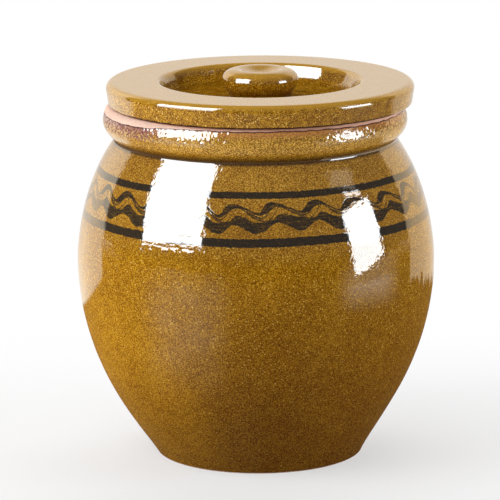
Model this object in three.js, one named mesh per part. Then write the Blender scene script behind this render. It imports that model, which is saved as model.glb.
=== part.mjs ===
// A stoneware rice jar with a loose, sunken lid.
// Millimetres, +Z up. The origin is the middle of the foot, on the surface that the jar stands on.
// Each piece was turned on a wheel, so each is an outline spun round an upright axis.
// In an outline, x is the distance from the axis and y is the height.

import * as THREE from "three";

// Jar foot
const FOOT_RADIUS = 81.3; // where the outside of the wall would meet the ground
const FOOT_EDGE = 2.5; // rounding of the foot's outer edge
const FOOT_RING_WIDTH = 15; // flat ring that the jar stands on
const FOOT_HOLLOW = 3; // depth of the hollow inside the ring
const FOOT_LEAN = 31; // degrees that the wall leans out as it leaves the foot

// Jar wall
const BELLY_RADIUS = 144; // outside, at the widest line
const BELLY_HEIGHT = 160; // widest line above the ground
const SHOULDER_RISE = 97.5; // widest line up to the crease under the rim
const SHOULDER_LEAN = 36.5; // degrees that the shoulder leans in where it meets the crease
const FOOT_PULL = 23; // how far the wall keeps its direction above the foot
const BELLY_PULL_DOWN = 86.5; // how far the wall keeps upright below the widest line
const BELLY_PULL_UP = 12.5; // how far the wall keeps upright above the widest line
const SHOULDER_PULL = 46; // how far the shoulder keeps its direction below the crease
const WALL = 8.5; // thickness of the wall
const FLOOR = 11; // thickness of the floor
const FLOOR_FILLET = 14; // rounding inside, between floor and wall

// Rolled rim
const RIM_RADIUS = 122; // outside, at the roll's widest line
const RIM_UNDERCUT = 9; // how far the crease lies in from that line
const ROLL_LEAN = 43; // degrees that the roll leans out as it leaves the crease
const ROLL_ROUNDING = 18; // rounding from there to the widest line
const RIM_RISE = 27.5; // crease up to the bare seat on top
const RIM_EDGE = 6.6; // width of the rounding between the widest line and the seat
const RIM_WIDTH = 28; // mouth to the roll's widest line
const MOUTH_EDGE = 4; // rounding between the seat and the mouth
const THROAT_FILLET = 14; // rounding inside, between the mouth and the shoulder

// Lid
const SEAT_GAP = 0.3; // lid above the seat
const LID_OVERHANG = 1; // lid past the roll's widest line
const LID_THICKNESS = 18.7; // flange
const LID_TOP_EDGE = 4.5; // rounding of the flange's upper edge
const LID_UNDER_EDGE = 2.5; // rounding of the flange's lower edge
const LID_PLAY = 6; // gap between plug and mouth, all round, when the lid is centred
const LID_SIDE_GAP = 2; // gap that is left on the side to which the lid is pushed
const PLUG_DEPTH = 5; // plug below the flange
const PLUG_EDGE = 3; // rounding of the plug's lower edge
const WELL_WALL = 12; // plug's side to the edge of the well's floor
const WELL_FLARE = 4; // how far the well's side leans out from floor to top
const WELL_FLOOR = 9.7; // thickness of the well's floor
const WELL_LIP = 3.5; // rounding of the well's upper edge
const WELL_FILLET = 5; // rounding between the well's floor and side

// Knob
const SLIP_GAP = 0.3; // clay slip between knob and lid
const KNOB_FOOT_RADIUS = 24.5;
const KNOB_RADIUS = 30.5; // at the widest line
const KNOB_HEIGHT = 22.7;
const KNOB_BULGE_HEIGHT = 14.5; // widest line above the foot
const KNOB_RIM_RADIUS = 19; // top edge of the thumb hollow
const KNOB_DIMPLE = 4; // depth of the thumb hollow

// Facets
const TURN_FACETS = 64; // flat faces round the jar and the lid
const KNOB_FACETS = 48; // flat faces round the knob
const WALL_STEP = 13; // length of an outline's step along the jar's wall
const KNOB_STEP = 3.2; // length of an outline's step along the knob
const ARC_STEP = 24; // degrees of an outline's step round an edge

// Sizes that follow from those above
const neckRadius = RIM_RADIUS - RIM_UNDERCUT;
const neckHeight = BELLY_HEIGHT + SHOULDER_RISE;
const seatHeight = neckHeight + RIM_RISE;
const mouthRadius = RIM_RADIUS - RIM_WIDTH;
const lidRadius = RIM_RADIUS + LID_OVERHANG;
const lidShift = LID_PLAY - LID_SIDE_GAP;
const plugRadius = mouthRadius - LID_PLAY;
const wellFloorRadius = plugRadius - WELL_WALL;
const wellFloorHeight = WELL_FLOOR - PLUG_DEPTH;

const glaze = new THREE.MeshStandardMaterial({ color: 0xa6751d, roughness: 0.15, metalness: 0 });

const point = (x, y) => new THREE.Vector2(x, y);
const radians = THREE.MathUtils.degToRad;

// The direction that climbs and leans away from the axis by so many degrees.
function leaning(degrees) {
  return point(Math.sin(radians(degrees)), Math.cos(radians(degrees)));
}

// Runs the path up to a corner and round it, towards the next point. An edge too short limits the rounding.
function roundCorner(path, corner, next, radius) {
  const back = path.currentPoint.clone().sub(corner);
  const on = next.clone().sub(corner);
  const room = Math.min(back.length(), on.length());
  back.normalize();
  on.normalize();
  const halfAngle = Math.acos(back.dot(on)) / 2;
  const reach = Math.min(radius / Math.tan(halfAngle), room);
  const bend = reach * Math.tan(halfAngle);
  const start = corner.clone().addScaledVector(back, reach);
  const end = corner.clone().addScaledVector(on, reach);
  const inward = back.clone().add(on).normalize();
  const centre = corner.clone().addScaledVector(inward, bend / Math.sin(halfAngle));
  const angleOf = (p) => p.clone().sub(centre).angle();
  path.lineTo(start.x, start.y);
  path.absarc(centre.x, centre.y, bend, angleOf(start), angleOf(end), back.cross(on) > 0);
}

// A smooth curve from where the path has come to, which sets out and arrives by way of the two pulls.
function curveTo(path, outPull, inPull, end) {
  const out = path.currentPoint.clone().add(outPull);
  const arrive = end.clone().sub(inPull);
  path.bezierCurveTo(out.x, out.y, arrive.x, arrive.y, end.x, end.y);
}

// The points along a path: straight runs keep only their ends, and bends are cut into steps.
function pointsAlong(path, step) {
  const points = [path.curves[0].getPoint(0)];
  for (const curve of path.curves) {
    let steps = Math.ceil(curve.getLength() / step);
    if (curve.isLineCurve) steps = 1;
    if (curve.isEllipseCurve) steps = arcSteps(curve);
    for (const p of curve.getPoints(steps).slice(1)) {
      if (p.distanceTo(points.at(-1)) > 1e-6) points.push(p);
    }
  }
  return points;
}

// The number of steps that a round edge is cut into.
function arcSteps(arc) {
  const turn = Math.PI * 2;
  let sweep = (((arc.aEndAngle - arc.aStartAngle) % turn) + turn) % turn;
  if (arc.aClockwise) sweep = turn - sweep;
  return Math.ceil(sweep / radians(ARC_STEP));
}

// Spins an outline that starts at the axis below and ends at the axis above.
function spin(points, facets) {
  return new THREE.LatheGeometry(points, facets).rotateX(Math.PI / 2);
}

function piece(name, geometry) {
  const mesh = new THREE.Mesh(geometry, glaze);
  mesh.name = name;
  return mesh;
}

// The two curves of the wall, from where the path stands at the foot up to the neck.
// The inside of the wall is the outside's shape, inset by the wall's thickness.
function addWall(path, inset) {
  const belly = point(BELLY_RADIUS - inset, BELLY_HEIGHT);
  const shoulder = leaning(-SHOULDER_LEAN);
  const neck = point(neckRadius, neckHeight).sub(point(shoulder.y, -shoulder.x).multiplyScalar(inset));
  curveTo(path, leaning(FOOT_LEAN).multiplyScalar(FOOT_PULL), point(0, BELLY_PULL_DOWN), belly);
  curveTo(path, point(0, BELLY_PULL_UP), shoulder.multiplyScalar(SHOULDER_PULL), neck);
}

// The jar's outside: hollow underside, foot ring, wall, rolled rim and bare seat, as far as the mouth's edge.
function jarOutside() {
  const path = new THREE.Path();
  const footCorner = point(FOOT_RADIUS, 0);
  const ringInside = FOOT_RADIUS - FOOT_RING_WIDTH;
  path.moveTo(0, FOOT_HOLLOW);
  path.lineTo(ringInside - FOOT_HOLLOW, FOOT_HOLLOW);
  path.lineTo(ringInside, 0);
  roundCorner(path, footCorner, footCorner.clone().addScaledVector(leaning(FOOT_LEAN), FOOT_PULL), FOOT_EDGE);
  addWall(path, 0);
  const rollCorner = point(RIM_RADIUS, neckHeight + RIM_UNDERCUT / Math.tan(radians(ROLL_LEAN)));
  roundCorner(path, rollCorner, point(RIM_RADIUS, seatHeight), ROLL_ROUNDING);
  const edgeFoot = path.currentPoint.y;
  path.absellipse(RIM_RADIUS - RIM_EDGE, edgeFoot, RIM_EDGE, seatHeight - edgeFoot, 0, Math.PI / 2);
  return path;
}

// The jar's inside: floor, wall, throat and mouth, as far as the seat.
function jarInside() {
  const path = new THREE.Path();
  const floorTop = FOOT_HOLLOW + FLOOR;
  const lean = leaning(FOOT_LEAN);
  const floorEdge = FOOT_RADIUS - WALL / lean.y + floorTop * (lean.x / lean.y);
  const floorCorner = point(floorEdge, floorTop);
  path.moveTo(0, floorTop);
  roundCorner(path, floorCorner, floorCorner.clone().addScaledVector(lean, FOOT_PULL), FLOOR_FILLET);
  addWall(path, WALL);
  const shoulder = leaning(-SHOULDER_LEAN);
  const rise = (path.currentPoint.x - mouthRadius) * (-shoulder.y / shoulder.x);
  const throat = point(mouthRadius, path.currentPoint.y + rise);
  const mouthCorner = point(mouthRadius, seatHeight);
  roundCorner(path, throat, mouthCorner, THROAT_FILLET);
  roundCorner(path, mouthCorner, point(RIM_RADIUS, seatHeight), MOUTH_EDGE);
  return path;
}

function jarBody() {
  const inside = pointsAlong(jarInside(), WALL_STEP).reverse();
  return piece("jar_body", spin([...pointsAlong(jarOutside(), WALL_STEP), ...inside], TURN_FACETS));
}

// The lid, measured from the seat: plug, flange and the sunken well that holds the knob.
function lid() {
  const path = new THREE.Path();
  const plugCorner = point(plugRadius, -PLUG_DEPTH);
  const flangeFoot = point(plugRadius, 0);
  const underEdge = point(lidRadius, 0);
  const topEdge = point(lidRadius, LID_THICKNESS);
  const lip = point(wellFloorRadius + WELL_FLARE, LID_THICKNESS);
  const wellCorner = point(wellFloorRadius, wellFloorHeight);
  const wellMiddle = point(0, wellFloorHeight);
  path.moveTo(0, -PLUG_DEPTH);
  roundCorner(path, plugCorner, flangeFoot, PLUG_EDGE);
  path.lineTo(flangeFoot.x, flangeFoot.y);
  roundCorner(path, underEdge, topEdge, LID_UNDER_EDGE);
  roundCorner(path, topEdge, lip, LID_TOP_EDGE);
  roundCorner(path, lip, wellCorner, WELL_LIP);
  roundCorner(path, wellCorner, wellMiddle, WELL_FILLET);
  path.lineTo(wellMiddle.x, wellMiddle.y);
  return piece("lid", spin(pointsAlong(path, WALL_STEP), TURN_FACETS));
}

// The knob, measured from its foot: a waist, a bulge to lift by, and a thumb hollow on top.
function knob() {
  const path = new THREE.Path();
  const crown = KNOB_HEIGHT - KNOB_BULGE_HEIGHT;
  const shelf = KNOB_RADIUS - KNOB_RIM_RADIUS;
  const hollowPull = KNOB_RIM_RADIUS / 2;
  path.moveTo(0, 0);
  path.lineTo(KNOB_FOOT_RADIUS, 0);
  curveTo(path, point(0, KNOB_BULGE_HEIGHT / 3), point(0, KNOB_BULGE_HEIGHT / 2), point(KNOB_RADIUS, KNOB_BULGE_HEIGHT));
  curveTo(path, point(0, crown * 0.6), point(-shelf * 0.6, 0), point(KNOB_RIM_RADIUS, KNOB_HEIGHT));
  curveTo(path, point(-hollowPull, 0), point(-hollowPull, 0), point(0, KNOB_HEIGHT - KNOB_DIMPLE));
  return piece("lid_knob", spin(pointsAlong(path, KNOB_STEP), KNOB_FACETS));
}

// The lid lies on the seat, pushed to one side of its play, and carries the knob in its well.
function lidWithKnob() {
  const group = new THREE.Group();
  const handle = knob();
  handle.position.z = wellFloorHeight + SLIP_GAP;
  group.add(lid(), handle);
  group.position.set(lidShift, 0, seatHeight + SEAT_GAP);
  return group;
}

const riceJar = new THREE.Group();
riceJar.add(jarBody(), lidWithKnob());

export default riceJar;
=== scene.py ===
# %% [markdown]
# A stoneware rice jar
#
# The jar was thrown on a potter's wheel, dipped in an amber glaze, banded with a dark brush and closed
# with a loose lid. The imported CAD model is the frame: it says where the jar, the lid and the knob are and
# how large. This script gives those three pieces their looks. Everything is built in metres, with +Z up.
# The finishes are measured on the clay in millimetres, because a glaze changes within a few of them.

# %% Load the frame
import bpy
import math
from mathutils import Matrix, Vector
from types import SimpleNamespace


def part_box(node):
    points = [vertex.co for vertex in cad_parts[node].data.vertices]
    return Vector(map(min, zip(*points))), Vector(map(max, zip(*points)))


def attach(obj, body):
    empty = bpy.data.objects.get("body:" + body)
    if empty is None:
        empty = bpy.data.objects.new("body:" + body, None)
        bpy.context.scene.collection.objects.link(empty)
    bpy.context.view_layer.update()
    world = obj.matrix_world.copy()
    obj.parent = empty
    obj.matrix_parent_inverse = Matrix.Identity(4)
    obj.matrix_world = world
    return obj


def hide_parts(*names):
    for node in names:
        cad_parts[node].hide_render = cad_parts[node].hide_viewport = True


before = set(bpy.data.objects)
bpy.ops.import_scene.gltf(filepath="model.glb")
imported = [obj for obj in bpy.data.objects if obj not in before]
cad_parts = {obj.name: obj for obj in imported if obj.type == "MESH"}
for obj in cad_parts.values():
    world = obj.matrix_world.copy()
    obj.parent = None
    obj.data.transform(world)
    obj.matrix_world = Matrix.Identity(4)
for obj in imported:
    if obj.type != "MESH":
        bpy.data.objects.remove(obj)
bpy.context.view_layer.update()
MM = 0.001
print("CAD nodes:", sorted(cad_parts))

# %% [markdown]
# The camera
#
# A long lens far away keeps the jar's sides nearly parallel, as a catalogue picture does. The place, the
# tilt and the focal length were found by matching the jar's outline with the photograph's. The jar leans
# a hair in the picture, so the camera is rolled by less than half a degree instead of leaning the jar.

# %% Camera
CAMERA_PLACE = (-0.0048, -3.0, 0.8207)
CAMERA_DOWN = math.radians(12.341)
CAMERA_ROLL = math.radians(-0.31)
CAMERA_LENS = 273.5

camera_data = bpy.data.cameras.new("photo_camera")
camera_data.lens = CAMERA_LENS
camera = bpy.data.objects.new("photo_camera", camera_data)
bpy.context.scene.collection.objects.link(camera)
tilt = Matrix.Rotation(math.pi / 2 - CAMERA_DOWN, 4, "X")
roll = Matrix.Rotation(CAMERA_ROLL, 4, "Z")
camera.matrix_world = Matrix.Translation(CAMERA_PLACE) @ tilt @ roll
bpy.context.scene.camera = camera
print("camera", [round(x, 4) for x in camera.location], "lens", CAMERA_LENS, "mm")

# %% [markdown]
# A helper for node recipes
#
# Materials, the sky and the potter's wheel below are all node trees. This helper adds one node per call.
# An input is a number, a colour, or the output of an earlier node, so a recipe reads from top to bottom.
# Its most used words are rise, a soft step from 0 to 1, and spread, which stretches such a step.

# %% Node recipes
class Recipe:
    def __init__(self, tree):
        self.tree = tree

    def feed(self, socket, value):
        if isinstance(value, bpy.types.Node):
            value = value.outputs[0]
        if isinstance(value, bpy.types.NodeSocket):
            self.tree.links.new(value, socket)
        else:
            socket.default_value = value

    def add(self, kind, inputs=(), **settings):
        node = self.tree.nodes.new(kind)
        for name, setting in settings.items():
            setattr(node, name, setting)
        for name, value in dict(inputs).items():
            self.feed(node.inputs[name], value)
        return node

    def math(self, operation, *values):
        return self.add("ShaderNodeMath", enumerate(values), operation=operation).outputs[0]

    def chain(self, operation, values):
        """One operation over several values, two at a time."""
        result = values[0]
        for value in values[1:]:
            result = self.math(operation, result, value)
        return result

    def plus(self, *values):
        return self.chain("ADD", values)

    def times(self, *values):
        return self.chain("MULTIPLY", values)

    def most(self, *values):
        return self.chain("MAXIMUM", values)

    def without(self, value):
        """What a share leaves of 1."""
        return self.math("SUBTRACT", 1, value)

    def vector(self, operation, *values):
        return self.add("ShaderNodeVectorMath", enumerate(values), operation=operation).outputs[0]

    def length(self, value):
        return self.add("ShaderNodeVectorMath", {0: value}, operation="LENGTH").outputs["Value"]

    def split(self, value):
        """A vector's X, Y and Z."""
        return self.add("ShaderNodeSeparateXYZ", {0: value}).outputs

    def rise(self, value, start, end):
        """0 before start, 1 after end, and a soft step between them. It falls where end comes first."""
        inputs = {"Value": value, "From Min": start, "From Max": end}
        return self.add("ShaderNodeMapRange", inputs, interpolation_type="SMOOTHSTEP").outputs[0]

    def spread(self, value, low, high):
        """Stretches a value that runs from 0 to 1 so that it runs from low to high."""
        return self.add("ShaderNodeMapRange", {"Value": value, "To Min": low, "To Max": high}).outputs[0]

    def blend(self, share, first, second):
        inputs = {0: share, 6: first, 7: second}
        return self.add("ShaderNodeMix", inputs, data_type="RGBA").outputs[2]

    def noise(self, place, size, detail=2.0, roughness=0.5):
        """Cloudy values from 0 to 1, with blotches about as wide as size."""
        inputs = {"Vector": place, "Scale": 1 / size, "Detail": detail, "Roughness": roughness}
        return self.add("ShaderNodeTexNoise", inputs).outputs[0]


# %% [markdown]
# The studio
#
# The jar stands on a plain pale floor. A glossy glaze shows its surroundings, so the surroundings matter
# more than the lamps' power. Behind the jar is a white wall, which reflections show as warm plaster with
# brighter ends. The wall is a part of the sky here, so that it never hides the jar from another side. The
# floor turns as white as the wall behind the jar, as a paper sweep does. Near the jar it is lit, and keeps
# the jar's shadow.

# %% Sky
WALL_LIGHT = (1, 1, 1, 1)
MIDDLE_LIGHT = (1, 0.96, 0.9, 1)
LEFT_END_LIGHT = (1.62, 1.48, 1.22, 1)
RIGHT_END_LIGHT = (1.35, 1.06, 0.7, 1)
ROOM_LIGHT = (0.10, 0.10, 0.105, 1)
# How far a direction points right, backward or up, where 1 is straight that way
LEFT_TO_RIGHT = (-0.1, 0.1)
MIDDLE_TO_ENDS = (0.97, 0.75)
WALL_EDGE = 0.45
WALL_EDGE_BLUR = 0.02
WALL_NARROWING = 0.35
WALL_TOP = 0.64
WALL_TOP_BLUR = 0.14


def compass(g, direction):
    """How far a direction points right and backward, whatever its height."""
    level = g.vector("NORMALIZE", g.vector("MULTIPLY", direction, (1, 1, 0)))
    return g.split(level)[:2]


def wall_light(g, direction):
    """White, but warm plaster in reflections, brighter towards the ends."""
    rightward, backward = compass(g, direction)
    ends = g.blend(g.rise(rightward, *LEFT_TO_RIGHT), LEFT_END_LIGHT, RIGHT_END_LIGHT)
    plaster = g.blend(g.rise(backward, *MIDDLE_TO_ENDS), MIDDLE_LIGHT, ends)
    return g.blend(g.add("ShaderNodeLightPath").outputs["Is Glossy Ray"], WALL_LIGHT, plaster)


sky = bpy.data.worlds.new("studio")
sky.use_nodes = True
bpy.context.scene.world = sky
sky.node_tree.nodes.clear()
g = Recipe(sky.node_tree)
direction = g.add("ShaderNodeTexCoord").outputs["Generated"]
upward = g.split(direction)["Z"]
narrowing = g.times(g.most(upward, 0), WALL_NARROWING)
inward = g.math("SUBTRACT", compass(g, direction)[1], narrowing)
between_edges = g.rise(inward, WALL_EDGE - WALL_EDGE_BLUR, WALL_EDGE + WALL_EDGE_BLUR)
below_top = g.rise(upward, WALL_TOP + WALL_TOP_BLUR, WALL_TOP - WALL_TOP_BLUR)
light = g.blend(g.times(between_edges, below_top), ROOM_LIGHT, wall_light(g, direction))
g.add("ShaderNodeOutputWorld", {"Surface": g.add("ShaderNodeBackground", {"Color": light})})
bpy.context.scene.view_settings.view_transform = "Standard"
print("sky of", len(sky.node_tree.nodes), "nodes")

# %% Floor
FLOOR_WIDTH = 14.0
FLOOR_COLOUR = (0.84, 0.845, 0.85, 1)
SWEEP = (-0.1, 0.45)
SWEEP_IN_FRONT = 0.5

half = FLOOR_WIDTH / 2
floor_mesh = bpy.data.meshes.new("floor")
corners = [(-half, -half, 0), (half, -half, 0), (half, half, 0), (-half, half, 0)]
floor_mesh.from_pydata(corners, [], [(0, 1, 2, 3)])
floor = bpy.data.objects.new("floor", floor_mesh)
bpy.context.scene.collection.objects.link(floor)
floor_finish = bpy.data.materials.new("floor_paper")
floor_finish.use_nodes = True
floor_finish.node_tree.nodes.clear()
g = Recipe(floor_finish.node_tree)
place = g.add("ShaderNodeTexCoord").outputs["Object"]
path = g.add("ShaderNodeLightPath").outputs
seen = g.most(path["Is Camera Ray"], path["Is Glossy Ray"], path["Is Transmission Ray"])
sweep = g.times(g.spread(g.rise(g.split(place)["Y"], *SWEEP), SWEEP_IN_FRONT, 1), seen)
lit = g.add("ShaderNodeBsdfDiffuse", {"Color": FLOOR_COLOUR})
white = g.add("ShaderNodeEmission", {"Color": wall_light(g, place)})
g.add("ShaderNodeOutputMaterial", {"Surface": g.add("ShaderNodeMixShader", {0: sweep, 1: lit, 2: white})})
floor_mesh.materials.append(floor_finish)
print("floor of", FLOOR_WIDTH, "m")

# %% [markdown]
# The lamps
#
# A glaze mirrors its lamps, so each soft box stands where the photograph shows its reflection: a large one
# on the left, a low one on the right, and above that a strip and a dim panel. Just behind the large box and
# the low box a second lamp makes each brighter in reflections only, as where a photograph burns out. A lamp
# overhead and bounce cards light the jar and stay out of its reflections.

# %% A lamp on a stand
def soft_box(name, azimuth, distance, height, width, tall, radiance, turn=0, nod=0, roll=0, tint=(1, 1, 1)):
    """A lamp at an azimuth in degrees from the camera's side to the right. It faces the jar's axis, then is
    turned on its stand, nods down and is rolled by so many degrees."""
    a = math.radians(azimuth)
    data = bpy.data.lights.new(name, "AREA")
    data.shape = "RECTANGLE"
    data.size = width
    data.size_y = tall
    data.energy = radiance * math.pi * width * tall
    data.color = tint
    lamp = bpy.data.objects.new(name, data)
    stand = Matrix.Translation((math.sin(a) * distance, -math.cos(a) * distance, height))
    facing = Matrix.Rotation(math.radians(azimuth + turn), 4, "Z")
    tipped = Matrix.Rotation(math.radians(90 - nod), 4, "X") @ Matrix.Rotation(math.radians(roll), 4, "Z")
    lamp.matrix_world = stand @ facing @ tipped
    lamp.visible_camera = False
    bpy.context.scene.collection.objects.link(lamp)
    print(name, "at", [round(x, 2) for x in lamp.location], "power", round(data.energy, 1), "W")
    return lamp


# %% Mirrored lamps
LEFT_BOX = dict(azimuth=-63.6, height=0.985, turn=25.1, nod=23, roll=4.5)
RIGHT_BOX = dict(azimuth=73.5, height=0.365, width=0.53, tall=0.48, turn=-25.3, nod=7.3, roll=9.6)
LEFT_GLARE = dict(radiance=5.4, tint=(0.87, 0.94, 1))
RIGHT_GLARE = dict(radiance=3.2, tint=(0.68, 0.88, 1))
RIGHT_STRIP = dict(azimuth=72.5, height=0.75, width=0.27, tall=0.06, roll=-19)
RIGHT_PANEL = dict(azimuth=71.4, height=0.98, width=0.4, tall=0.27, roll=-26)
WARM = (1, 0.9, 0.72)

soft_box("left_soft_box", distance=1.26, width=1.2, tall=1.24, radiance=4.0, **LEFT_BOX)
left_glare = soft_box("left_glare", distance=1.29, width=1.22, tall=1.26, **LEFT_GLARE, **LEFT_BOX)
soft_box("right_soft_box", distance=1.1, radiance=6.5, **RIGHT_BOX)
right_glare = soft_box("right_glare", distance=1.13, **RIGHT_GLARE, **RIGHT_BOX)
soft_box("right_strip", distance=1.1, radiance=6, **RIGHT_STRIP)
soft_box("right_upper_panel", distance=1.1, radiance=0.75, tint=WARM, **RIGHT_PANEL)
for glare in (left_glare, right_glare):
    glare.visible_diffuse = False

# %% Lamps that only light
OVERHEAD = dict(azimuth=180, distance=0.9, height=1.7, width=1.8, tall=1.2, nod=60)
LEFT_FLOOR = dict(azimuth=-85, distance=0.5, height=0.004, width=0.7, tall=0.6, nod=-90)
FRONT_ABOVE = dict(azimuth=-12, distance=1.3, height=1.3, width=0.9, tall=0.6, nod=38)
RIGHT_BACK = dict(azimuth=140, distance=1.3, height=0.4, width=0.8, tall=0.6)

for card in (
    soft_box("top_soft_box", radiance=1.6, **OVERHEAD),
    soft_box("left_floor_card", radiance=1.7, **LEFT_FLOOR),
    soft_box("front_card", radiance=2.9, **FRONT_ABOVE),
    soft_box("right_back_card", radiance=2, **RIGHT_BACK),
):
    card.visible_glossy = False

# %% [markdown]
# The potter's wheel
#
# Every piece is a body of revolution, so one Geometry Nodes tree throws them all. It takes an outline, lays
# out a grid with one row for each point of the outline and one column for each facet, wraps the grid round
# the axis and closes its seam and poles. A modelled spin would do the same, but here the number of facets
# and the hand-made unevenness stay named inputs that can be changed.

# %% Steps of the wheel
WHEEL_INPUTS = {"Outline": "Geometry", "Facets": "Int", "Unevenness": "Float", "Finish": "Material"}
SEAM_GAP = 1e-6
SLOW_WANDER = 0.16
FINGER_RINGS = (6, 6, 90)
CALM_NEAR_AXIS = 0.03
SHARP_CREASE = math.radians(35)


def wrap_outline(g, given, place):
    """A grid with a row for each outline point and a column for each facet, wrapped round the axis."""
    rows = g.add("GeometryNodeAttributeDomainSize", {"Geometry": given["Outline"]}).outputs["Point Count"]
    columns = g.plus(given["Facets"], 1)
    grid = g.add("GeometryNodeMeshGrid", {"Vertices X": columns, "Vertices Y": rows}).outputs["Mesh"]
    index = g.add("GeometryNodeInputIndex")
    row = g.math("MODULO", index, rows)
    column = g.math("FLOOR", g.math("DIVIDE", index, rows))
    # Each grid point takes its outline point's place, turned round the axis
    sample = g.add("GeometryNodeSampleIndex", data_type="FLOAT_VECTOR")
    g.feed(sample.inputs["Geometry"], given["Outline"])
    g.feed(sample.inputs["Value"], place)
    g.feed(sample.inputs["Index"], row)
    angle = g.times(g.math("DIVIDE", column, given["Facets"]), 2 * math.pi)
    turned = g.add("ShaderNodeVectorRotate", {"Vector": sample, "Angle": angle}, rotation_type="Z_AXIS")
    wrapped = g.add("GeometryNodeSetPosition", {"Geometry": grid, "Position": turned})
    return g.add("GeometryNodeMergeByDistance", {"Geometry": wrapped, "Distance": SEAM_GAP})


def sway_by_hand(g, given, place, piece):
    """The hand's unevenness: a slow wander in and out, and finger rings up the wall."""
    slow = g.noise(place, SLOW_WANDER, 1)
    rings = g.noise(g.vector("MULTIPLY", place, FINGER_RINGS), 1, 1)
    wander = g.plus(g.spread(slow, -1, 1), g.spread(rings, -0.4, 0.4))
    outward = g.vector("MULTIPLY", place, (1, 1, 0))
    push = g.times(wander, g.rise(g.length(outward), 0, CALM_NEAR_AXIS), given["Unevenness"])
    away = g.vector("NORMALIZE", outward)
    shove = g.add("ShaderNodeVectorMath", {0: away, "Scale": push}, operation="SCALE")
    return g.add("GeometryNodeSetPosition", {"Geometry": piece, "Offset": shove})


def shade_smooth(g, piece):
    """Smooth shading, except across a sharp crease."""
    bend = g.add("GeometryNodeInputMeshEdgeAngle").outputs["Unsigned Angle"]
    soft = g.add("FunctionNodeCompare", {"A": bend, "B": SHARP_CREASE}, operation="LESS_THAN")
    faces = g.add("GeometryNodeSetShadeSmooth", {"Geometry": piece})
    return g.add("GeometryNodeSetShadeSmooth", {"Geometry": faces, "Shade Smooth": soft}, domain="EDGE")


# %% Wheel
def make_wheel():
    tree = bpy.data.node_groups.new("potters_wheel", "GeometryNodeTree")
    sockets = {}
    for name, kind in WHEEL_INPUTS.items():
        sockets[name] = tree.interface.new_socket(name, in_out="INPUT", socket_type="NodeSocket" + kind)
    tree.interface.new_socket("Piece", in_out="OUTPUT", socket_type="NodeSocketGeometry")
    g = Recipe(tree)
    given = g.add("NodeGroupInput").outputs
    place = g.add("GeometryNodeInputPosition")
    piece = wrap_outline(g, given, place)
    piece = shade_smooth(g, sway_by_hand(g, given, place, piece))
    realized = g.add("GeometryNodeRealizeInstances", {"Geometry": piece})
    finished = g.add("GeometryNodeSetMaterial", {"Geometry": realized, "Material": given["Finish"]})
    g.add("NodeGroupOutput", {"Piece": finished})
    return tree, sockets


wheel, wheel_sockets = make_wheel()
print("wheel has", len(wheel.nodes), "nodes and the inputs", list(wheel_sockets))

# %% Throwing a piece
def throw(name, points, shift, facets, unevenness, finish):
    """Spins an outline of (distance from the axis, height) and moves the piece sideways by shift."""
    outline = bpy.data.meshes.new(name + "_outline")
    outline.from_pydata([(r, 0, z) for r, z in points], [], [])
    piece = bpy.data.objects.new(name, outline)
    bpy.context.scene.collection.objects.link(piece)
    spin = piece.modifiers.new("wheel", "NODES")
    spin.node_group = wheel
    spin[wheel_sockets["Facets"].identifier] = facets
    spin[wheel_sockets["Unevenness"].identifier] = unevenness
    spin[wheel_sockets["Finish"].identifier] = finish
    depsgraph = bpy.context.evaluated_depsgraph_get()
    mesh = bpy.data.meshes.new_from_object(piece.evaluated_get(depsgraph))
    mesh.name = name
    piece.modifiers.clear()
    piece.data = mesh
    mesh.transform(Matrix.Translation((shift, 0, 0)))
    bpy.data.meshes.remove(outline)
    triangles = sum(len(face.vertices) - 2 for face in mesh.polygons)
    print(name, "outline of", len(points), "points,", triangles, "triangles")
    return piece


# %% [markdown]
# Outlines
#
# An outline is drawn as a potter would describe it: run straight, round a corner, or follow a curve that
# sets out one way and arrives another. The CAD model was drawn the same way with coarse steps. Here the
# steps are fine enough that no facet shows.

# %% Outline tools
STEP = 2.2 * MM
ARC_STEP = math.radians(9)


class Outline:
    def __init__(self, x, z):
        self.points = [Vector((x, z))]

    def line(self, x, z):
        start, end = self.points[-1], Vector((x, z))
        steps = max(1, round((end - start).length / STEP))
        self.points += [start.lerp(end, i / steps) for i in range(1, steps + 1)]

    def arc(self, centre, radii, start, stop):
        steps = max(2, round(abs(stop - start) / ARC_STEP))
        for i in range(1, steps + 1):
            a = start + (stop - start) * i / steps
            x = centre[0] + radii[0] * math.cos(a)
            z = centre[1] + radii[1] * math.sin(a)
            self.points.append(Vector((x, z)))

    def corner(self, x, z, onward_x, onward_z, radius):
        """Runs up to a corner and rounds it, turning towards the onward point."""
        corner = Vector((x, z))
        back = (self.points[-1] - corner).normalized()
        on = (Vector((onward_x, onward_z)) - corner).normalized()
        half_angle = back.angle(on) / 2
        start = corner + back * radius / math.tan(half_angle)
        centre = corner + (back + on).normalized() * radius / math.sin(half_angle)
        first = math.atan2(start.y - centre.y, start.x - centre.x)
        sweep = math.copysign(math.pi - 2 * half_angle, -back.x * on.y + back.y * on.x)
        self.line(*start)
        self.arc(centre, (radius, radius), first, first + sweep)

    def curve(self, out_pull, in_pull, x, z):
        p0, p3 = self.points[-1], Vector((x, z))
        p1, p2 = p0 + Vector(out_pull), p3 - Vector(in_pull)
        steps = round((p3 - p0).length / STEP)
        for i in range(1, steps + 1):
            t = i / steps
            u = 1 - t
            self.points.append(p0 * u**3 + p1 * 3 * u * u * t + p2 * 3 * u * t * t + p3 * t**3)


def leaning(degrees, length):
    """A pull that climbs and leans away from the axis."""
    return Vector((math.sin(math.radians(degrees)), math.cos(math.radians(degrees)))) * length


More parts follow.
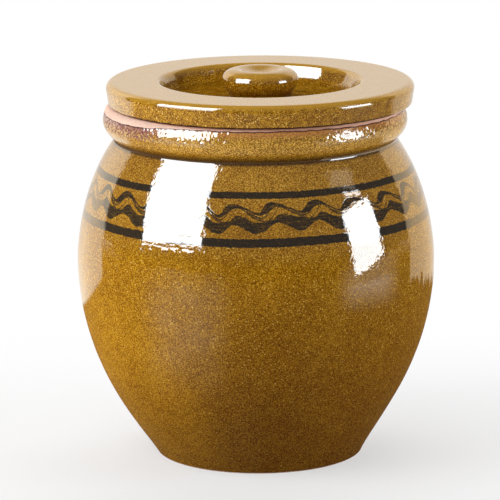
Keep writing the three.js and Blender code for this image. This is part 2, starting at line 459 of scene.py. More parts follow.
# %% [markdown]
# The glaze
#
# An amber glaze is never one colour. It is clouded where it ran thick and thin, grainy with fine crystals,
# and dotted with yellow specks. Its surface is glassy but faintly rippled, which is why the soft boxes'
# reflections have ragged edges. All of that is noise on Object coordinates, so it stays on the clay. The
# gloss is a clear coat over the colour, because the coat can be thinner where the glaze is drier.

# %% Glaze colour
LIGHT_AMBER = (0.52, 0.265, 0.014, 1)
DEEP_AMBER = (0.165, 0.059, 0.001, 1)
GOLD = (0.72, 0.46, 0.09, 1)
CLOUD_SIZE = 45 * MM
BLOTCH_SIZE = 7 * MM
GRAIN_SIZE = 0.9 * MM
SPECK_SPACING = 1.6 * MM
MIDDLE_DEPTH = 0.66
FULL_DEPTH = (-0.2, 1.2)
SPECK_SIZES = (-0.4, 0.45)


def glaze_colour(g, place, light=LIGHT_AMBER, deep=DEEP_AMBER, grain=1.5, blotch=0.45, specks=0.9):
    """Clouds, blotches, grain and gold specks, each by so much."""
    clouds = g.spread(g.noise(place, CLOUD_SIZE, 3), -0.3, 0.3)
    blotches = g.times(g.spread(g.noise(place, BLOTCH_SIZE, 2), -1, 1), blotch)
    grains = g.times(g.spread(g.noise(place, GRAIN_SIZE, 1), -1, 1), grain)
    depth = g.plus(clouds, blotches, grains, MIDDLE_DEPTH)
    colour = g.blend(g.rise(depth, *FULL_DEPTH), light, deep)
    cells = g.add("ShaderNodeTexVoronoi", {"Vector": place, "Scale": 1 / SPECK_SPACING})
    chance = g.add("ShaderNodeSeparateColor", {0: cells.outputs["Color"]}).outputs[0]
    inside = g.math("SUBTRACT", g.spread(chance, *SPECK_SIZES), cells.outputs["Distance"])
    return g.blend(g.times(g.rise(inside, 0, 0.1), specks), colour, GOLD)


# %% Glaze surface
GLAZE_ROUGHNESS = 0.08
GLAZE_IOR = 1.5
COAT_ROUGHNESS = 0.04
COAT_IOR = 2.0
# Broad waves, smaller ones and a fine orange peel: (width, height)
RIPPLES = ((15 * MM, 0.15 * MM), (5 * MM, 0.1 * MM), (2.2 * MM, 0.055 * MM))
RIPPLE_MIDDLE = 0.14 * MM


def glaze_ripple(g, place):
    """Height of the glaze's surface in metres."""
    return g.plus(*[g.spread(g.noise(place, width, 1), 0, height) for width, height in RIPPLES])


def new_finish(name):
    material = bpy.data.materials.new(name)
    material.use_nodes = True
    material.node_tree.nodes.clear()
    return material, Recipe(material.node_tree)


def finish_shader(g, colour, roughness, coat, height):
    """The one shader of a piece: a dull colour under a clear coat that has all the gloss."""
    bump = g.add("ShaderNodeBump", {"Height": height, "Strength": 1.0, "Distance": 1.0})
    under = {"Base Color": colour, "Roughness": roughness, "Normal": bump}
    under |= {"IOR": GLAZE_IOR, "Specular IOR Level": 0}
    over = {"Coat Weight": coat, "Coat Roughness": COAT_ROUGHNESS, "Coat IOR": COAT_IOR, "Coat Normal": bump}
    shader = g.add("ShaderNodeBsdfPrincipled", {**under, **over})
    g.add("ShaderNodeOutputMaterial", {"Surface": shader})
    print("finish of", len(g.tree.nodes), "nodes")


# %% [markdown]
# Bare clay
#
# The potter wipes the glaze off the seat, the foot and the lid's underside, or the pieces would fire fast
# to each other and to the kiln shelf. There the pink clay shows, dry and slightly gritty, and lower than
# the glaze by the glaze's thickness.

# %% Clay recipe
PINK_CLAY = (0.88, 0.64, 0.52, 1)
BROWN_CLAY = (0.66, 0.42, 0.32, 1)
CLAY_ROUGHNESS = 0.8
CLAY_PATCH = 4 * MM
GRIT_SIZE = 0.8 * MM
GRIT_HEIGHT = 0.08 * MM
GLAZE_THICKNESS = 0.29 * MM


def bare_roughness(g, bare):
    return g.spread(bare, GLAZE_ROUGHNESS, CLAY_ROUGHNESS)


def clay_colour(g, place):
    return g.blend(g.noise(place, CLAY_PATCH, 4), PINK_CLAY, BROWN_CLAY)


def glaze_on_clay(g, at, swell):
    """The surface's height: the glaze's own swell where there is glaze, and grit where the clay is bare."""
    glaze = g.times(g.plus(swell, GLAZE_THICKNESS), g.without(at.bare))
    grit = g.spread(g.noise(at.place, GRIT_SIZE, 3), 0, GRIT_HEIGHT)
    return g.plus(glaze, g.times(grit, at.bare))


# %% [markdown]
# Places on a piece
#
# A glaze changes from the foot to the rim and from side to side, so a finish has to know where a point
# lies. Painted masks could tell it. Here it is worked out from the Object coordinates, in millimetres from
# the piece's own axis, so that every zone of a finish is a few numbers that can be read off a ruler.

# %% Where a point is
def measure(g, middle=0):
    """A point's place, and in millimetres where it lies from the axis at x = middle and from the floor."""
    place = g.add("ShaderNodeTexCoord").outputs["Object"]
    flat = g.vector("MULTIPLY", g.vector("SUBTRACT", place, (middle, 0, 0)), (1000, 1000, 0))
    x, y = g.split(flat)[:2]
    height = g.times(g.split(place)["Z"], 1000)
    return SimpleNamespace(place=place, flat=flat, x=x, y=y, height=height, radius=g.length(flat))


# %% [markdown]
# The brushed band
#
# Two dark stripes run round the shoulder, with a wave between them. A potter draws them with a loaded brush
# while the wheel turns. The wave is one pass of a flat, split brush: its ink gathers at the top of each
# crest and at the bottom of each trough, and the bristles between leave hairlines. Each strand is a drawn
# curve of height and one of thickness along one wave, repeated round the jar. Slow noise shifts, swells and
# delays the strands, so that no two waves are alike. Heights are in millimetres.

# %% Band values
INK = (0.013, 0.010, 0.006, 1)
WAVES = 25
UPPER_STRIPE = (232.4, 237.4)
LOWER_STRIPE = (196.6, 203.2)
# From trough to trough of the upper strand: (way along the wave, height), then (way along, thickness)
UPPER_HEIGHT = ((0, 221.2), (0.05, 222.0), (0.11, 223.5), (0.18, 224.9), (0.26, 226.3), (0.33, 227.2),
                (0.4, 227.6), (0.47, 227.4), (0.54, 226.8), (0.62, 225.6), (0.76, 223.5), (0.9, 221.7),
                (1, 221.2))
UPPER_WIDTH = ((0, 1.6), (0.05, 2.6), (0.11, 4.2), (0.18, 5.6), (0.25, 5.0), (0.33, 3.7),
               (0.4, 2.7), (0.47, 2.1), (0.55, 1.6), (0.65, 1.2), (0.8, 1.1), (0.92, 1.2), (1, 1.6))
UPPER_TROUGH = 0.65
# The same for the lower strand
LOWER_HEIGHT = ((0, 211.6), (0.06, 211.7), (0.17, 212.3), (0.31, 213.9), (0.43, 215.4), (0.5, 216.6),
                (0.56, 217.1), (0.63, 216.6), (0.7, 215.5), (0.78, 214.2), (0.86, 212.9), (0.94, 211.9),
                (1, 211.6))
LOWER_WIDTH = ((0, 6.9), (0.1, 6.8), (0.17, 6.2), (0.31, 4.2), (0.43, 2.8), (0.5, 3.9), (0.56, 5.4),
               (0.63, 5.9), (0.7, 6.2), (0.86, 6.8), (1, 6.9))
LOWER_TROUGH = 0.56
# Two hairlines dip below the upper strand and climb late, the second one earlier and higher by these values
HAIR_HEIGHT = ((0, 217.4), (0.08, 216.5), (0.19, 216.2), (0.25, 217.0), (0.31, 218.7), (0.39, 222.3),
               (0.44, 225.2), (0.5, 226.3), (0.62, 224.2), (0.76, 220.8), (0.9, 218.6), (1, 217.4))
HAIR_WIDTH = ((0, 1.1), (0.5, 0.8), (1, 1.1))
HAIRLINES = ((0, 0), (-0.1, 2.5))
HAIR_INK = 0.8
print("one wave takes", 360 / WAVES, "degrees of the jar's round")

# %% Brush strokes
CURVE_TOP = 240.0
STROKE_BLUR = 0.25


def drawn(g, along, points):
    """A value that follows a drawn curve while along goes from 0 to 1. The curve itself can't exceed 1."""
    node = g.add("ShaderNodeFloatCurve", {"Value": along})
    knots = node.mapping.curves[0].points
    while len(knots) < len(points):
        knots.new(0.5, 0.5)
    for knot, (x, y) in zip(knots, points):
        knot.location = (x, y / CURVE_TOP)
    node.mapping.update()
    return g.times(node.outputs[0], CURVE_TOP)


def strand(g, height, turns, trough, centre, width, boldness):
    along = g.math("FRACT", g.math("SUBTRACT", turns, trough))
    off = g.math("ABSOLUTE", g.math("SUBTRACT", height, drawn(g, along, centre)))
    half_width = g.times(drawn(g, along, width), boldness, 0.5)
    return g.rise(g.math("SUBTRACT", off, half_width), STROKE_BLUR, -STROKE_BLUR)


def stripe(g, height, bottom, top):
    above = g.rise(height, bottom - STROKE_BLUR, bottom + STROKE_BLUR)
    return g.times(above, g.rise(height, top + STROKE_BLUR, top - STROKE_BLUR))


# %% Band recipe
RAGGED_BY = 0.7
WANDER_BY = 1.0
LIFT_BY = 4
DELAY_BY = 0.3
BOLDNESS = (0.85, 1.75)
STREAK_INK = 0.78
GRAIN_INK = (0.84, 0.98)


def sway(g, place, size, by):
    """Slow noise from minus by to plus by."""
    return g.spread(g.noise(place, size, 1), -by, by)


def band_ink(g, at):
    """How much ink covers a point, from 0 to 1."""
    ragged = g.plus(at.height, sway(g, at.place, 2.5 * MM, RAGGED_BY))
    wander = g.plus(ragged, sway(g, at.place, 60 * MM, WANDER_BY))
    lift = g.plus(wander, sway(g, at.place, 36 * MM, LIFT_BY))
    delay = sway(g, g.vector("ADD", at.place, (3, 0, 0)), 50 * MM, DELAY_BY)
    boldness = g.spread(g.noise(g.vector("ADD", at.place, (0, 3, 0)), 30 * MM, 1), *BOLDNESS)
    turns = g.plus(g.times(at.angle, WAVES / (2 * math.pi)), 0.5, delay)
    # Bristles leave streaks along the waves, and grains of the glaze show through
    along = g.add("ShaderNodeCombineXYZ", {0: g.times(at.angle, 14), 1: g.times(lift, 0.8)})
    streaks = g.spread(g.rise(g.noise(along, 1, 2), 0.68, 0.42), STREAK_INK, 1)
    upper = strand(g, lift, turns, UPPER_TROUGH, UPPER_HEIGHT, UPPER_WIDTH, boldness)
    lower = strand(g, lift, turns, LOWER_TROUGH, LOWER_HEIGHT, LOWER_WIDTH, boldness)
    marks = [stripe(g, wander, *UPPER_STRIPE), stripe(g, wander, *LOWER_STRIPE)]
    marks += [g.times(upper, streaks), g.times(lower, streaks)]
    for late, higher in HAIRLINES:
        lowered = g.math("SUBTRACT", lift, higher)
        hair = strand(g, lowered, turns, UPPER_TROUGH + late, HAIR_HEIGHT, HAIR_WIDTH, boldness)
        marks.append(g.times(hair, HAIR_INK))
    grains = g.spread(g.rise(g.noise(at.place, 1.2 * MM, 1), 0.72, 0.5), *GRAIN_INK)
    return g.times(g.most(*marks), grains)


# %% [markdown]
# The jar's shape
#
# The outside climbs from the foot ring through the belly to a crease, rolls out into the rim and ends in a
# flat seat. The inside follows the outside at the wall's thickness. The belly's width and the seat's height
# come from the frame.

# %% Jar outline
jar_low, jar_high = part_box("jar_body")
SEAT = jar_high.z
BELLY_RADIUS = jar_high.x
FOOT_RADIUS = 81.3 * MM
FOOT_EDGE = 2.5 * MM
FOOT_LEAN = 31
FOOT_PULL = 23 * MM
BELLY_HEIGHT = 160 * MM
BELLY_PULL_DOWN = 86.5 * MM
BELLY_PULL_UP = 12.5 * MM
NECK_RADIUS = 113 * MM
NECK_HEIGHT = 257.5 * MM
SHOULDER_LEAN = 36.5
SHOULDER_PULL = 46 * MM
WALL = 8.5 * MM
FLOOR_TOP = 14 * MM
INSIDE_FILLET = 14 * MM
RIM_RADIUS = 122 * MM
RIM_EDGE = 6.6 * MM
ROLL_LEAN = 43
ROLL_FILLET = 13 * MM
CREASE_FILLET = 2.2 * MM
MOUTH_RADIUS = 94 * MM
MOUTH_EDGE = 4 * MM
FOOT_HOLLOW = 3 * MM
FOOT_RING = 15 * MM


def add_wall(outline, inset):
    shoulder = leaning(-SHOULDER_LEAN, 1)
    neck = Vector((NECK_RADIUS, NECK_HEIGHT)) - Vector((shoulder.y, -shoulder.x)) * inset
    outline.curve(leaning(FOOT_LEAN, FOOT_PULL), (0, BELLY_PULL_DOWN), BELLY_RADIUS - inset, BELLY_HEIGHT)
    outline.curve((0, BELLY_PULL_UP), shoulder * SHOULDER_PULL, *neck)


def jar_outside():
    outside = Outline(0, FOOT_HOLLOW)
    ring_inside = FOOT_RADIUS - FOOT_RING
    outside.line(ring_inside - FOOT_HOLLOW, FOOT_HOLLOW)
    outside.line(ring_inside, 0)
    onward = Vector((FOOT_RADIUS, 0)) + leaning(FOOT_LEAN, 1)
    outside.corner(FOOT_RADIUS, 0, *onward, FOOT_EDGE)
    add_wall(outside, 0)
    # The last two points make room for the crease's fillet
    del outside.points[-2:]
    roll_corner = NECK_HEIGHT + (RIM_RADIUS - NECK_RADIUS) / math.tan(math.radians(ROLL_LEAN))
    outside.corner(NECK_RADIUS, NECK_HEIGHT, RIM_RADIUS, roll_corner, CREASE_FILLET)
    outside.corner(RIM_RADIUS, roll_corner, RIM_RADIUS, SEAT, ROLL_FILLET)
    edge_foot = outside.points[-1].y
    outside.arc((RIM_RADIUS - RIM_EDGE, edge_foot), (RIM_EDGE, SEAT - edge_foot), 0, math.pi / 2)
    return outside


def jar_inside():
    inside = Outline(0, FLOOR_TOP)
    lean = leaning(FOOT_LEAN, 1)
    floor_edge = FOOT_RADIUS - WALL / lean.y + FLOOR_TOP * lean.x / lean.y
    inside.corner(floor_edge, FLOOR_TOP, floor_edge + lean.x, FLOOR_TOP + lean.y, INSIDE_FILLET)
    add_wall(inside, WALL)
    x, z = inside.points[-1]
    throat = z + (x - MOUTH_RADIUS) / math.tan(math.radians(SHOULDER_LEAN))
    inside.corner(MOUTH_RADIUS, throat, MOUTH_RADIUS, SEAT, INSIDE_FILLET)
    inside.corner(MOUTH_RADIUS, SEAT, RIM_RADIUS, SEAT, MOUTH_EDGE)
    return inside


def jar_outline():
    """Up the outside, across the seat and down the inside, which is drawn upward and taken in reverse."""
    outside = jar_outside()
    inside = jar_inside()
    outside.line(*inside.points[-1])
    return outside.points + inside.points[-2::-1]


print("jar", round(SEAT - jar_low.z, 4), "m tall and", round(2 * BELLY_RADIUS, 4), "m wide")

# %% [markdown]
# Where the jar is glazed
#
# The glaze ends on the rolled rim in a wavering edge, a little higher at the front and lower on the left.
# Most zones below are a pair of values in millimetres, from where a change starts to where it is complete:
# heights, distances from the axis, or distances to its right, which are negative on the left. The band and
# the thin glaze are on the outside only, so a mask tells which way the wall faces.

# %% Jar zones
EDGE_WAVER = 0.9
EDGE_FRONT = (-85, -115)
EDGE_FRONT_RISE = 1.2
EDGE_LEFT = (-60, -105)
EDGE_LEFT_DROP = 2.5
SEAT_FROM = (282.0, 282.4)
SEAT_OUTSIDE = (97, 98)
HOLLOW_BELOW = (4.6, 4)
HOLLOW_INSIDE = (79, 78)
FOOT_RING_BELOW = (1.2, 0.6)


def facing_out(g, at):
    """1 where the wall faces away from the axis and 0 where it faces inward."""
    normal = g.add("ShaderNodeTexCoord").outputs["Normal"]
    sides = {0: normal, 1: g.vector("NORMALIZE", at.flat)}
    facing = g.add("ShaderNodeVectorMath", sides, operation="DOT_PRODUCT").outputs["Value"]
    return g.rise(facing, -0.05, 0.05)


def jar_zones(g):
    at = measure(g)
    at.angle = g.math("ARCTAN2", at.x, g.times(at.y, -1))
    at.across = g.math("ABSOLUTE", at.x)
    at.outer = facing_out(g, at)
    waver = g.spread(g.noise(at.place, 8 * MM, 3), -EDGE_WAVER, EDGE_WAVER)
    front = g.spread(g.rise(at.y, *EDGE_FRONT), 0, -EDGE_FRONT_RISE)
    left = g.spread(g.rise(at.x, *EDGE_LEFT), 0, EDGE_LEFT_DROP)
    at.edge = g.plus(at.height, waver, front, left)
    seat = g.times(g.rise(at.edge, *SEAT_FROM), g.rise(at.radius, *SEAT_OUTSIDE))
    hollow = g.times(g.rise(at.height, *HOLLOW_BELOW), g.rise(at.radius, *HOLLOW_INSIDE))
    at.bare = g.most(seat, hollow, g.rise(at.height, *FOOT_RING_BELOW))
    return at


# %% [markdown]
# The jar's colour
#
# The glaze ran while it melted. It is thinner on the shoulder, thin and golden on the roll, and darker and
# brown towards the foot, with fewer specks; that darkening is partly thick glaze and partly painted shade,
# and the painted shade is heavier on the right. Under the roll it has pooled in the crease, and the crease
# and the roll's underside are also painted darker as shade. Towards its edge it is pitted, more so on the
# sides, then turns rusty, or mauve on the left, and stops in a dark line.

# %% Jar body colour
# A dark brown for thick glaze low on the jar, which also serves as painted shade
THICK_GLAZE_AND_SHADE = (0.086, 0.021, 0.0003, 1)
THIN_LIGHT = (0.75, 0.42, 0.06, 1)
THIN_DEEP = (0.22, 0.096, 0.006, 1)
# Nearly black: pooled glaze, and painted shade in the crease and under the lid's edge
POOLED_GLAZE_AND_SHADE = (0.035, 0.011, 0.0005, 1)
GOLDEN_ROLL = (260, 267)
GOLDEN_SHOULDER = (205, 240)
ROLL_LEFT = (-110, -30)
ROLL_RIGHT = (50, 100)
# Darker towards the foot, partly thick glaze and partly painted shade, the painted shade heavier on the
# right
BROWNING = (225, 40)
SHADE_HEAVIER_RIGHT = (-75, -15)
GRAINY = (120, 230)
SPECKED = (40, 200)
BLOTCHED = 0.22
CREASE_FROM = (254.4, 256.8)
CREASE_TO = (265, 258)


def body_colour(g, at):
    golden = g.most(g.rise(at.edge, *GOLDEN_ROLL), g.times(g.rise(at.height, *GOLDEN_SHOULDER), 0.3))
    golden = g.times(golden, at.outer, g.spread(g.rise(at.x, *ROLL_LEFT), 0.35, 1))
    golden = g.times(golden, g.spread(g.rise(at.x, *ROLL_RIGHT), 1, 0.55))
    # Darker towards the foot: thick glaze, and painted shade that is heavier on the right
    thick_and_shaded = g.times(g.rise(at.height, *BROWNING), g.spread(g.rise(at.x, *SHADE_HEAVIER_RIGHT), 0.12, 0.62))
    light = g.blend(g.times(thick_and_shaded, 0.85), g.blend(golden, LIGHT_AMBER, THIN_LIGHT), THICK_GLAZE_AND_SHADE)
    deep = g.blend(g.times(thick_and_shaded, 1.5), g.blend(golden, DEEP_AMBER, THIN_DEEP), THICK_GLAZE_AND_SHADE)
    grain = g.spread(g.rise(at.height, *GRAINY), 1.8, 2.2)
    specks = g.spread(g.rise(at.height, *SPECKED), 0.25, 0.7)
    return glaze_colour(g, at.place, light, deep, grain, BLOTCHED, specks)


def pool_and_shade_in_crease(g, at, colour):
    # Dark in the crease and fading up the roll's underside: pooled glaze and painted shade
    crease = g.times(g.rise(at.height, *CREASE_FROM), g.spread(g.rise(at.height, *CREASE_TO), 0, 0.9))
    return g.blend(g.times(crease, at.outer), colour, POOLED_GLAZE_AND_SHADE)


# %% Jar edge colour
RUSTY_GLAZE = (0.62, 0.24, 0.08, 1)
MAUVE_GLAZE = (0.40, 0.22, 0.18, 1)
EDGE_GLAZE = (0.075, 0.022, 0.022, 1)
MAUVE_PITS = (0.17, 0.055, 0.06, 1)
RUSTY_FROM = (275, 281)
MAUVE_LEFT = (-50, -90)
PITTED_FROM = (270, 275)
PIT_SIZE = 1.8 * MM
PIT_DEPTH = (0.44, 0.58)
PITS_TURN_MAUVE = (-30, -70)
EDGE_LINE = (281.2, 281.7)


def edge_pits(g, at):
    """Pits in the thin glaze: few in the middle, more on the right and most on the left."""
    sides = g.plus(
        g.spread(g.rise(at.x, -10, -30), 0.12, 0.24),
        g.spread(g.rise(at.x, -65, -85), 0, 0.66),
        g.spread(g.rise(at.x, 30, 85), 0, 0.3),
    )
    pitted = g.times(g.rise(at.edge, *PITTED_FROM), at.outer)
    return g.times(g.rise(g.noise(at.place, PIT_SIZE, 2), *PIT_DEPTH), pitted, sides)


def edge_colour(g, at, colour, pits):
    mauve = g.rise(at.x, *MAUVE_LEFT)
    thin = g.times(g.rise(at.edge, *RUSTY_FROM), at.outer, g.spread(mauve, 0.5, 0.75))
    colour = g.blend(thin, colour, g.blend(mauve, RUSTY_GLAZE, MAUVE_GLAZE))
    colour = g.blend(pits, colour, g.blend(g.rise(at.x, *PITS_TURN_MAUVE), EDGE_GLAZE, MAUVE_PITS))
    return g.blend(g.times(g.rise(at.edge, *EDGE_LINE), at.outer), colour, EDGE_GLAZE)


# %% [markdown]
# The jar's gloss
#
# The glaze is glassy from the shoulder up and drier below it. On the sides the glassy part reaches further
# down, with a ragged end on the right where the glaze ran. A window of gloss on the right holds the low
# end of the lamp's reflection, and there is a smear of gloss left of the middle. The belt under the roll is
# dull, and so are the pits. Gloss is the weight of the clear coat, from 0 to 1.

# %% Jar gloss
DRY_COAT = 0.05
GLASSY_FROM = (176, 198)
SIDE_STRIPS = (120.5, 122.5)
STRIP_END = (156, 163)
STRIP_DROP_START = 121.6
STRIP_DROP = 1.9
RIGHT_HALF = (0, 50)
RAGGED_END = (-24, 20)
WINDOW_LEFT = (60, 78)
WINDOW_RIGHT = (115, 98)
WINDOW_FROM = (136, 164)
SMEAR_LEFT = (-95, -70)
SMEAR_RIGHT = (-15, -40)
SMEAR_FROM = (60, 130)
SMEAR_FRONT = (0, -50)
SMEAR_SIZE = 25 * MM


def glassy_strips(g, at):
    """Gloss on the far left and right, reaching lower the further out it is."""
    right = g.rise(at.x, *RIGHT_HALF)
    drop = g.times(g.most(g.math("SUBTRACT", at.across, STRIP_DROP_START), 0), STRIP_DROP)
    drop = g.times(drop, g.spread(right, 1, 0.4))
    runs = g.add("ShaderNodeCombineXYZ", {0: g.times(at.angle, 30), 1: g.times(at.height, 0.02)})
    ragged = g.times(g.spread(g.noise(runs, 1, 2), *RAGGED_END), right)
    low_end = g.rise(g.plus(at.height, drop, ragged), *STRIP_END)
    return g.times(g.rise(at.across, *SIDE_STRIPS), low_end)


def glassy_patches(g, at):
    """The window on the right and the smear on the front, left of the middle."""
    window = g.times(g.rise(at.x, *WINDOW_LEFT), g.rise(at.x, *WINDOW_RIGHT))
    window = g.times(window, g.spread(g.rise(at.height, *WINDOW_FROM), 0, 0.8))
    smear = g.times(g.rise(at.x, *SMEAR_LEFT), g.rise(at.x, *SMEAR_RIGHT))
    smear = g.times(smear, g.rise(at.height, *SMEAR_FROM), g.rise(at.y, *SMEAR_FRONT))
    smear = g.times(smear, g.spread(g.noise(at.place, SMEAR_SIZE, 2), 0, 0.55))
    return g.most(window, smear)


# %% Dull under the roll
UNDER_ROLL_FROM = (256.7, 259.2)
UNDER_ROLL_STEP = (48, 55)
UNDER_ROLL_TO = (273, 269)
LIT_LEFT = (-20, -45)
LIT_RIGHT = (40, 55)
UNLIT_LIFT = 4
NOT_FAR_OUT = (103, 96)
SIDES_BELOW = (264, 261)
DULL_BY = 0.85


def under_roll(g, at):
    """The dull belt, which ends lower where the lamps' reflections lie on the roll and at the far sides."""
    above_crease = g.math("SUBTRACT", at.height, g.spread(g.rise(at.x, *UNDER_ROLL_STEP), *UNDER_ROLL_FROM))
    lit = g.most(g.rise(at.x, *LIT_LEFT), g.rise(at.x, *LIT_RIGHT))
    below_bulge = g.rise(g.plus(at.height, g.spread(lit, -UNLIT_LIFT, 0)), *UNDER_ROLL_TO)
    inward = g.most(g.rise(at.across, *NOT_FAR_OUT), g.rise(at.height, *SIDES_BELOW))
    return g.times(g.rise(above_crease, 0, 0.6), below_bulge, inward)


def jar_coat(g, at, pits):
    wet = g.most(g.rise(at.height, *GLASSY_FROM), glassy_strips(g, at), glassy_patches(g, at))
    wet = g.times(wet, g.without(g.times(under_roll(g, at), DULL_BY)), g.without(pits))
    return g.times(g.spread(wet, DRY_COAT, 1), g.without(at.bare))


# %% [markdown]
# The jar's surface
#
# The ink has melted smooth, the thin glaze on the roll is crinkled, and a throwing ring under the band
# stands out and catches the lamp. These are fractions of a millimetre, so they are bump and not mesh.

# %% Jar relief
INK_CALMS_TO = 0.25
CRINKLE_FROM = (267, 272)
CRINKLE_SIZE = 2.8 * MM
CRINKLE_HEIGHT = 0.5 * MM
RING_BOTTOM = (186, 190.5)
RING_TOP = (194, 191)
RING_RIGHT_END = (-30, -50)
RING_LEFT_END = (-100, -85)
RING_BREAKS = (0.42, 0.62)
RING_HEIGHT = 0.17 * MM


def jar_relief(g, at, ink):
    crinkle = g.spread(g.noise(at.place, CRINKLE_SIZE, 0), 0, CRINKLE_HEIGHT)
    crinkle = g.times(crinkle, g.rise(at.edge, *CRINKLE_FROM), at.outer)
    ring = g.times(g.rise(at.height, *RING_BOTTOM), g.rise(at.height, *RING_TOP))
    ring = g.times(ring, g.rise(at.x, *RING_RIGHT_END), g.rise(at.x, *RING_LEFT_END))
    ring = g.times(ring, g.spread(g.rise(g.noise(at.place, 7 * MM, 1), *RING_BREAKS), 0, RING_HEIGHT))
    swell = g.math("SUBTRACT", glaze_ripple(g, at.place), RIPPLE_MIDDLE)
    swell = g.times(swell, g.spread(ink, 1, INK_CALMS_TO))
    return glaze_on_clay(g, at, g.plus(swell, crinkle, ring))


# %% [markdown]
# The jar, put together
#
# The finish lays one colour over another: the glaze, its edge, the pooled glaze and painted shade in the
# crease, the ink, painted paler at the far sides as a painted reflection, and last the wiped clay. The
# wheel then throws the jar. A jar is cut off the wheel while it is soft, so its foot spreads a little and
# stands off centre. The lowest vertices are moved for that after the throw, because a spun outline can't
# be off centre.

# %% Jar
# The ink is painted paler at the far left and right, a painted reflection of the wall
INK_REFLECTION_SIDES = (118, 125)
INK_UNDER_REFLECTION = 0.7
JAR_FACETS = 256
JAR_UNEVENNESS = 0.35 * MM
FOOT_SHIFT = 2.2 * MM
FOOT_FLARE = 0.022
FOOT_TOP = 50 * MM


def jar_finish():
    material, g = new_finish("jar_glaze")
    at = jar_zones(g)
    pits = edge_pits(g, at)
    # Painted reflection: the ink is paler at the far sides
    ink = g.times(band_ink(g, at), at.outer, g.spread(g.rise(at.across, *INK_REFLECTION_SIDES), 1, INK_UNDER_REFLECTION))
    colour = edge_colour(g, at, body_colour(g, at), pits)
    colour = pool_and_shade_in_crease(g, at, colour)
    colour = g.blend(ink, colour, INK)
    colour = g.blend(at.bare, colour, clay_colour(g, at.place))
    finish_shader(g, colour, bare_roughness(g, at.bare), jar_coat(g, at, pits), jar_relief(g, at, ink))
    return material


jar = throw("jar_body_thrown", jar_outline(), 0, JAR_FACETS, JAR_UNEVENNESS, jar_finish())
for vertex in jar.data.vertices:
    low = max(0, 1 - vertex.co.z / FOOT_TOP)
    spread_out = 1 + FOOT_FLARE * low**3
    vertex.co.x = vertex.co.x * spread_out + FOOT_SHIFT * low**2
    vertex.co.y = vertex.co.y * spread_out
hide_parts("jar_body")
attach(jar, "jar")

# %% [markdown]
# The lid
#
# The lid is a thick disc whose side leans out a little. A short plug under it keeps it in the mouth, and a
# sunken well on top holds the knob, so that jars can be stacked. Its place and its width come from the
# frame. On its top the glaze lies smooth and even, and its colour is painted lighter there as a painted
# sheen. The well's floor shows faint throwing rings and is painted darker as shade, more on the left, and
# a painted shade runs dark along the lower edge. The side is drier than the top, except at its left and
# right ends, and is painted darker on the right as shade. The underside is bare.

# %% Lid outline
lid_low, lid_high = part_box("lid")
LID_MIDDLE = (lid_low.x + lid_high.x) / 2
LID_RADIUS = (lid_high.x - lid_low.x) / 2
LID_TOP = lid_high.z
LID_UNDER = SEAT + 0.3 * MM
LID_LEAN = 1.3 * MM
LID_LOWER_EDGE = 3.2 * MM
LID_UPPER_EDGE = 5.5 * MM
PLUG_BOTTOM = lid_low.z
PLUG_RADIUS = 88 * MM
PLUG_EDGE = 3 * MM
WELL_RADIUS = 74 * MM
WELL_FLARE = 7 * MM
WELL_LIP = 3.5 * MM
WELL_FILLET = 8 * MM
WELL_FLOOR = PLUG_BOTTOM + 9.7 * MM


def lid_outline():
    outline = Outline(0, PLUG_BOTTOM)
    outline.corner(PLUG_RADIUS, PLUG_BOTTOM, PLUG_RADIUS, LID_UNDER, PLUG_EDGE)
    outline.line(PLUG_RADIUS, LID_UNDER)
    outline.corner(LID_RADIUS - LID_LEAN, LID_UNDER, LID_RADIUS + LID_LEAN, LID_TOP, LID_LOWER_EDGE)
    outline.corner(LID_RADIUS + LID_LEAN, LID_TOP, 0, LID_TOP, LID_UPPER_EDGE)
    outline.corner(WELL_RADIUS + WELL_FLARE, LID_TOP, WELL_RADIUS, WELL_FLOOR, WELL_LIP)
    outline.corner(WELL_RADIUS, WELL_FLOOR, 0, WELL_FLOOR, WELL_FILLET)
    outline.line(0, WELL_FLOOR)
    return outline.points


print("lid", round(2 * LID_RADIUS, 3), "m wide, its middle at x =", round(LID_MIDDLE, 4))

# %% Lid colour
# A pale, plain glaze for tops, painted lighter than the glaze as a painted sheen
TOP_GLAZE_AND_SHEEN = (0.55, 0.292, 0.021, 1)
LID_GRAIN = dict(grain=2.8, blotch=0.9, specks=1)
LID_TOP_FROM = (299, 303)
LID_TOP_SHARE = 0.78
WELL_FLOOR_BELOW = (292.5, 291)
WELL_FLOOR_INSIDE = (80, 79)
LID_SIDE = (100, 101)
LID_SIDE_BELOW = (301, 297)
# Where the side is painted darker on the right as shade
DARKER_RIGHT = (45, 85)
# Painted shade along the lid side's lower edge
EDGE_SHADE_BELOW = (287.2, 286.6)
EDGE_SHADE_RAGGED = 0.9
UNDER_BELOW = (285.6, 285.4)
UNDER_INSIDE = (120.5, 119.5)
WELL_RIGHT = (-10, 25)


def lid_zones(g):
    at = measure(g, LID_MIDDLE)
    at.top = g.rise(at.height, *LID_TOP_FROM)
    at.well_floor = g.times(g.rise(at.height, *WELL_FLOOR_BELOW), g.rise(at.radius, *WELL_FLOOR_INSIDE))
    at.well_right = g.rise(at.x, *WELL_RIGHT)
    at.bare = g.times(g.rise(at.height, *UNDER_BELOW), g.rise(at.radius, *UNDER_INSIDE))
    return at


